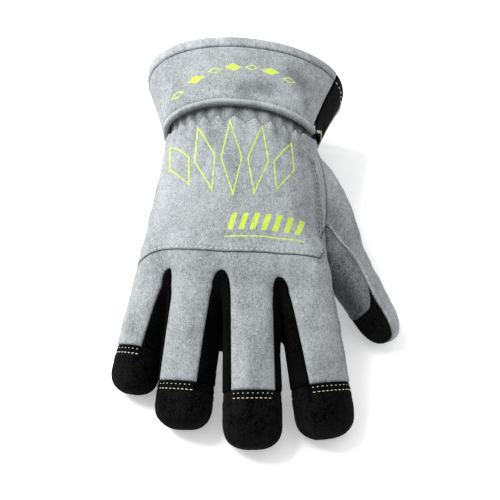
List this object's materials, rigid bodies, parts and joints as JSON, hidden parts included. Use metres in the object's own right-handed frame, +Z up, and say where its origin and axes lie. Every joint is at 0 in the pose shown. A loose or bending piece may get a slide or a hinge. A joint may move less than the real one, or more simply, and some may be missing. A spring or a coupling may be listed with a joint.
{
  "type": "firefighter glove",
  "caption": "Right-hand grey suede firefighter glove with black fingertips and gussets, a gathered wrist and a flared gauntlet cuff, lying palm down on its fingertips and cuff rim.",
  "frame": {"origin": "centre of the glove's bounding box in plan, on the ground that the fingertips rest on", "axes": "+Y from the fingertips to the cuff, +X to the thumb side, +Z up from the ground"},
  "size_m": [0.1538, 0.2488, 0.072],
  "materials": {
    "grey_suede": "napped split suede, matt",
    "shaded_suede": "napped split suede, matt",
    "black_suede": "napped suede, matt"
  },
  "bodies": {
    "root": {"hand_back_panel": "grey_suede", "finger_back_panel": "grey_suede", "palm_panel": "grey_suede", "thumb_outer_panel": "grey_suede", "cuff_back_panel": "grey_suede", "cuff_palm_panel": "grey_suede", "cuff_hem": "grey_suede", "thumb_inner_panel": "shaded_suede", "wrist_band": "shaded_suede", "gusset_little_ring": "black_suede", "gusset_ring_middle": "black_suede", "gusset_middle_index": "black_suede", "fingertip_cap_little": "black_suede", "fingertip_cap_ring": "black_suede", "fingertip_cap_middle": "black_suede", "fingertip_cap_index": "black_suede", "thumb_tip_patch": "black_suede", "cuff_side_strip": "black_suede"}
  },
  "joints": []
}
